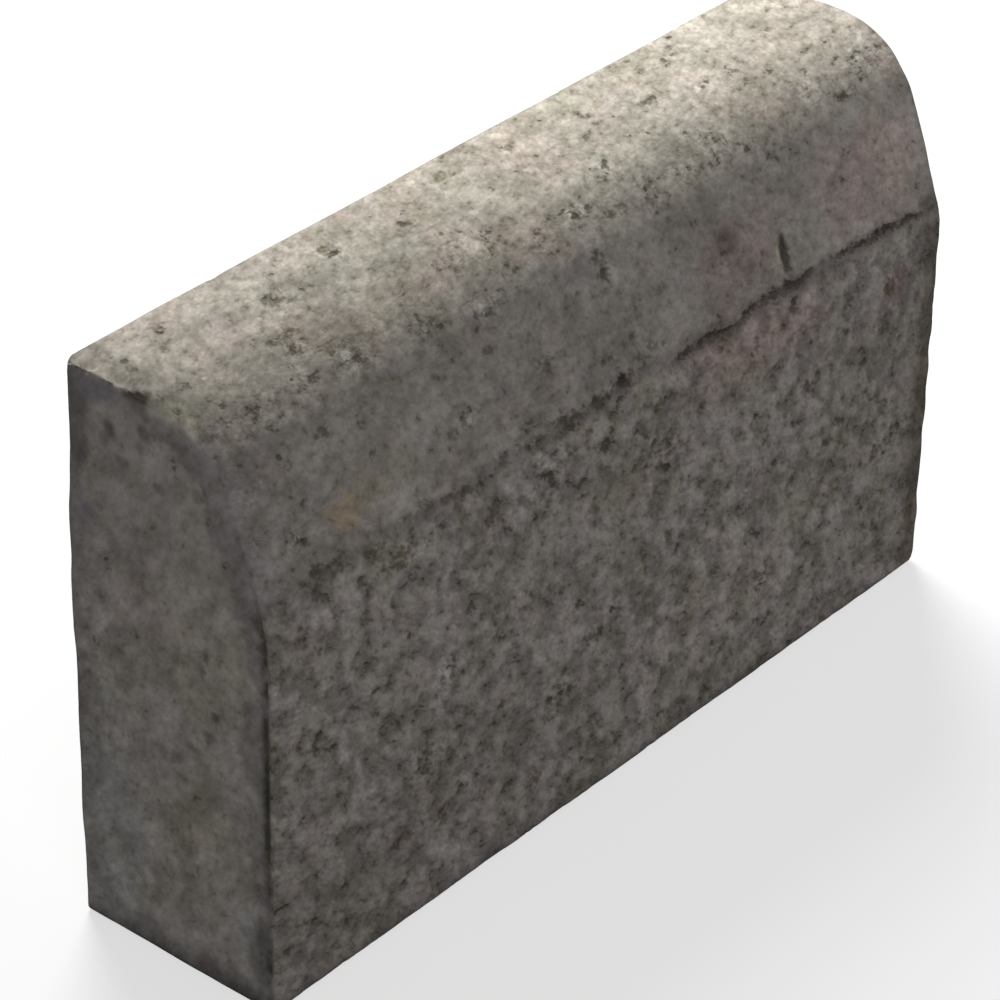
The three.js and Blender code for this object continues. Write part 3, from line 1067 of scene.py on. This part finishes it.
        # Darker within a few mm of the arrises, but not at the near end's top arris
        darker_arris = g.step(self.from_arris, 0.5, 4, 0.80, 1.0)
        paint.shade(g.blend_value(self.near_top_arris, darker_arris, 1.0))
        far_edge = g.step(self.frayed(self.x, 4 * MM), 236, 239) * self.coarse
        paint.tint(FAR_EDGE_TINT, far_edge, self.road_side)
        low_far_edge = g.step(self.frayed(self.x, 6 * MM), 231, 236) * self.road_side
        paint.tint(LOW_FAR_EDGE_TINT, low_far_edge, g.step(self.z, 140, 110))
        # Painted shade in a band along the crease on the road side
        from_crease = self.frayed(self.z + (1 * MM - CREASE_HEIGHT), 8 * MM)
        crease_shade_band = g.step(g.math("ABSOLUTE", from_crease), 7, 2)
        paint.shade(0.80, crease_shade_band, self.road_side)

        # Painted shadow: a dark line in patches on the near end beside its front arris, below the crease's
        # height
        shadow_beside_arris = self.on_end * g.step(self.y, -54, -57) * g.step(self.z, 240, 222)
        patchy = g.ramp(self.frayed(self.patch, 0.5), 0.56, 0.44, 0.2, 1.0)
        paint.over(SHADOW_LINE, shadow_beside_arris, patchy, 0.9)


def pore_noise(g, settled, detail):
    """The pattern of the small pores, hollow where low."""
    return g.noise(settled, 4.6, 23.9, detail=detail, roughness=0.55)


def pit_depth(g, to_pit, fray, outer=1.15, inner=0.25):
    """How deep a point lies in the pit that it is near to, 0 to 1."""
    across, up, near = g.split(to_pit)
    return g.ramp(g.hypotenuse(across, up) + fray, outer, inner) * near


def crease_depth(g, crease, fray, outer=1.4, inner=0.45):
    """How deep a point lies in the crease, 0 to 1."""
    over, width, strength = g.split(crease)
    gap = g.math("ABSOLUTE", over + fray)
    return g.ramp(gap / width, outer, inner) * strength


class Paint:
    """Builds up a colour in layers, each of them where all its masks are 1."""

    def __init__(self, g, colour):
        self.g, self.colour = g, colour

    def over(self, colour, *masks):
        """Lays a colour over what is there."""
        self.colour = self.g.blend_colour("MIX", reduce(mul, masks), self.colour, colour)

    def tint(self, colour, *masks):
        """Multiplies by a colour."""
        self.colour = self.g.blend_colour("MULTIPLY", reduce(mul, masks), self.colour, colour)

    def shade(self, tone, *masks):
        """Makes it lighter or darker by a number, and everywhere if there is no mask."""
        if masks:
            tone = self.g.blend_value(reduce(mul, masks), 1.0, tone)
        self.colour = self.g.vector("SCALE", self.colour, scale=tone)


def wear_tree():
    """Geometry Nodes that press the surface in by its relief, and keep on it what the material needs."""
    tree = bpy.data.node_groups.new("cast_relief", "GeometryNodeTree")
    for way in ("INPUT", "OUTPUT"):
        tree.interface.new_socket("Geometry", in_out=way, socket_type="NodeSocketGeometry")
    g = Graph(tree)
    surface = Surface(g)

    offset = g.vector("SCALE", surface.facing, scale=surface.relief() * -1.0)
    for beyond, inward in surface.breaks:
        offset = g.vector("ADD", offset, g.vector("SCALE", inward, scale=g.math("MAXIMUM", beyond, 0)))
    geometry = g.node("NodeGroupInput").outputs[0]
    kept = {
        "ground": surface.ground(),
        "cast": g.join(surface.openness, surface.hollow, surface.liveliness()),
        "plates": g.join(surface.lumps, surface.plate_contrast(), 0),
    }
    for name, value in kept.items():
        store = g.node("GeometryNodeStoreNamedAttribute", data_type="FLOAT_VECTOR", domain="POINT")
        store.inputs["Name"].default_value = name
        g.feed(store.inputs["Geometry"], geometry)
        g.feed(store.inputs["Value"], value)
        geometry = store.outputs["Geometry"]
    press = g.node("GeometryNodeSetPosition")
    g.feed(press.inputs["Geometry"], geometry)
    g.feed(press.inputs["Offset"], offset)
    g.feed(g.node("NodeGroupOutput").inputs[0], press.outputs["Geometry"])
    return tree


def worn(mesh):
    """The mesh with the relief applied."""
    stone = bpy.data.objects.new("unworn", mesh)
    bpy.context.scene.collection.objects.link(stone)
    stone.modifiers.new("cast_relief", "NODES").node_group = wear_tree()
    evaluated = stone.evaluated_get(bpy.context.evaluated_depsgraph_get())
    result = bpy.data.meshes.new_from_object(evaluated)
    bpy.data.objects.remove(stone)
    return result


# ====== material
def concrete():
    """Grey cast concrete: sand grains and small open pores over the colours that the surface carries."""
    material = bpy.data.materials.new("weathered_concrete")
    material.use_nodes = True
    g = Graph(material.node_tree)
    shader = material.node_tree.nodes["Principled BSDF"]
    shader.inputs["Roughness"].default_value = ROUGHNESS
    shader.inputs["Specular IOR Level"].default_value = SPECULAR

    def carried(name):
        return g.node("ShaderNodeAttribute", attribute_name=name).outputs["Vector"]

    # Patterns of the fine grain
    settled = g.drawn_out(carried("place"), GRAIN_STRETCH)
    openness, hollow, lively = g.split(carried("cast"))
    pores = pore_noise(g, settled, detail=2.5)
    specks = g.noise(settled, 1.9, 29.3, detail=1)
    cells = g.texture("ShaderNodeTexVoronoi", g.scaled(settled, 1.5, 31.3))
    grain, _, _ = g.split(cells["Color"])
    ragged = (pores - 0.5) + (specks - 0.5) * 0.6
    lumps, contrast, _ = g.split(carried("plates"))
    plates = g.ramp(lumps + ragged * 0.14, 0.37, 0.63) - 0.5

    # Where it is open, dirty or pale, and where the hollows and the crease get painted shade
    pinholes = g.ramp(openness - pores, 0.0, 0.20)
    voids = g.ramp(hollow + ragged * -0.45, -0.01, 0.10)
    to_pit, over_crease = carried("to_pit"), carried("crease")
    pit = pit_depth(g, to_pit, ragged * 2.6)
    beside_pit = pit_depth(g, to_pit, ragged * 3, outer=2.6, inner=0.9)
    crease = crease_depth(g, over_crease, ragged * (9 * MM))
    beside_crease = crease_depth(g, over_crease, ragged * (10 * MM), outer=3.0, inner=0.9)
    _, smeared, pale = g.split(carried("spots"))
    smear = g.ramp(smeared + ragged * -2.4, 0.30, 1.15)
    pale_spot = g.ramp(pale + ragged * 1.2, 0.45, 0.85)

    paint = Paint(g, carried("ground"))
    fine = (specks - 0.5) * 0.48 + (grain - 0.5) * 0.14
    pale_grains = g.ramp(grain, 0.93, 0.99) * lively * lively * 0.09
    paint.shade(plates * contrast + 1.0)
    paint.shade((pores - 0.5) * lively * 1.28 + fine * lively + pale_grains + 1.0)
    paint.tint(PORE_TINT, g.ramp(pores, 0.50, 0.36))
    paint.over(PALE_GRAIN, pale_spot, 0.5)
    paint.tint(SMEAR_TINT, smear)
    # The dark in and beside the hollows is partly darker matter and partly painted shade
    paint.over(VOID_DIRT_AND_SHADE, beside_pit, 0.28)
    paint.over(VOID_DIRT_AND_SHADE, pinholes, 0.40)
    paint.over(VOID_DIRT_AND_SHADE, voids, 0.58)
    paint.over(VOID_DIRT_AND_SHADE, pit, 0.80)
    paint.over(PURPLE_BROWN, beside_crease, 0.24)
    # Painted shadow in the crease's groove
    paint.over(SHADOW_LINE, crease, g.ramp(pores, 0.56, 0.44, 0.68, 1.0))
    g.feed(shader.inputs["Base Color"], paint.colour)

    rough = cells["Distance"] * cells["Distance"] * -0.06 + specks * 0.12 + pores * 0.15
    hollows = pinholes * -0.30 + voids * -0.35 + pit * -0.6 + crease * -0.4
    bump = g.node("ShaderNodeBump")
    bump.inputs["Strength"].default_value = 1.0
    bump.inputs["Distance"].default_value = MM
    g.feed(bump.inputs["Height"], rough * lively + hollows)
    g.feed(shader.inputs["Normal"], bump.outputs["Normal"])
    return material


# ====== camera, floor and light
def add_camera():
    """The photograph's view: its angles, lens and aim, found by fitting the stone's corners to it."""
    azimuth, elevation, roll = (math.radians(angle) for angle in VIEW_ANGLES)
    back = Vector((
        math.sin(azimuth) * math.cos(elevation),
        -math.cos(azimuth) * math.cos(elevation),
        math.sin(elevation),
    ))
    level = Vector((math.cos(azimuth), math.sin(azimuth), 0))
    steep = back.cross(level)
    right = level * math.cos(roll) + steep * math.sin(roll)
    up = -level * math.sin(roll) + steep * math.cos(roll)
    data = bpy.data.cameras.new("camera")
    data.sensor_fit = "HORIZONTAL"
    data.sensor_width = SENSOR_WIDTH
    data.lens = LENS
    camera = bpy.data.objects.new("camera", data)
    turn = Matrix((right, up, back)).transposed().to_4x4()
    camera.matrix_world = Matrix.Translation(Vector(VIEW_AIM) + back * VIEW_DISTANCE) @ turn
    bpy.context.scene.collection.objects.link(camera)
    bpy.context.scene.camera = camera


def shader_of(g, kind, **settings):
    """The output of a shader node, and that node's colours and strengths."""
    made = g.node(kind)
    for name, value in settings.items():
        g.feed(made.inputs[name], value)
    return made.outputs[0]


def seen_apart(g, lighting, seen):
    """A shader that shows the camera one thing, and lights the stone as another."""
    pick = g.node("ShaderNodeMixShader")
    from_camera = g.node("ShaderNodeLightPath").outputs["Is Camera Ray"]
    g.feed_all(pick.inputs, (from_camera, lighting, seen))
    return pick.outputs[0]


def add_floor():
    bpy.ops.mesh.primitive_plane_add(size=FLOOR_SIZE)
    floor = bpy.context.object
    floor.name = "floor"
    material = bpy.data.materials.new("pale_floor")
    material.use_nodes = True
    tree = material.node_tree
    tree.nodes.remove(tree.nodes["Principled BSDF"])
    g = Graph(tree)
    lit = g.node("ShaderNodeAddShader")
    shadowed = shader_of(g, "ShaderNodeBsdfDiffuse", Color=FLOOR_SHADOWED)
    g.feed_all(lit.inputs, (shadowed, shader_of(g, "ShaderNodeEmission", Color=FLOOR_GLOW)))
    bounce = shader_of(g, "ShaderNodeBsdfDiffuse", Color=FLOOR_BOUNCE)
    g.feed(tree.nodes["Material Output"].inputs["Surface"], seen_apart(g, bounce, lit.outputs[0]))
    floor.data.materials.append(material)


def add_light():
    world = bpy.data.worlds.new("studio")
    world.use_nodes = True
    tree = world.node_tree
    g = Graph(tree)
    fill = shader_of(g, "ShaderNodeBackground", Color=WHITE, Strength=WORLD_STRENGTH)
    seen = shader_of(g, "ShaderNodeBackground", Color=WHITE, Strength=1.0)
    g.feed(tree.nodes["World Output"].inputs["Surface"], seen_apart(g, fill, seen))
    bpy.context.scene.world = world
    for name, settings in LAMPS.items():
        add_lamp(name, *settings)


def add_lamp(name, towards, distance, size, power):
    """A round soft lamp that looks at the stone."""
    towards = Vector(towards).normalized()
    data = bpy.data.lights.new(name, "AREA")
    data.shape = "DISK"
    data.size = size
    data.energy = power
    lamp = bpy.data.objects.new(name, data)
    lamp.location = Vector((0, 0, HEIGHT / 2)) + towards * distance
    lamp.rotation_euler = towards.to_track_quat("Z", "Y").to_euler()
    bpy.context.scene.collection.objects.link(lamp)


# ====== scene
stone = bpy.data.objects.new("kerb_stone_cast", worn(kerb_mesh()))
bpy.context.scene.collection.objects.link(stone)
stone.data.materials.clear()
stone.data.materials.append(concrete())
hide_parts(NODE)
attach(stone, "root")

add_camera()
add_floor()
add_light()
bpy.context.scene.view_settings.view_transform = "Standard"
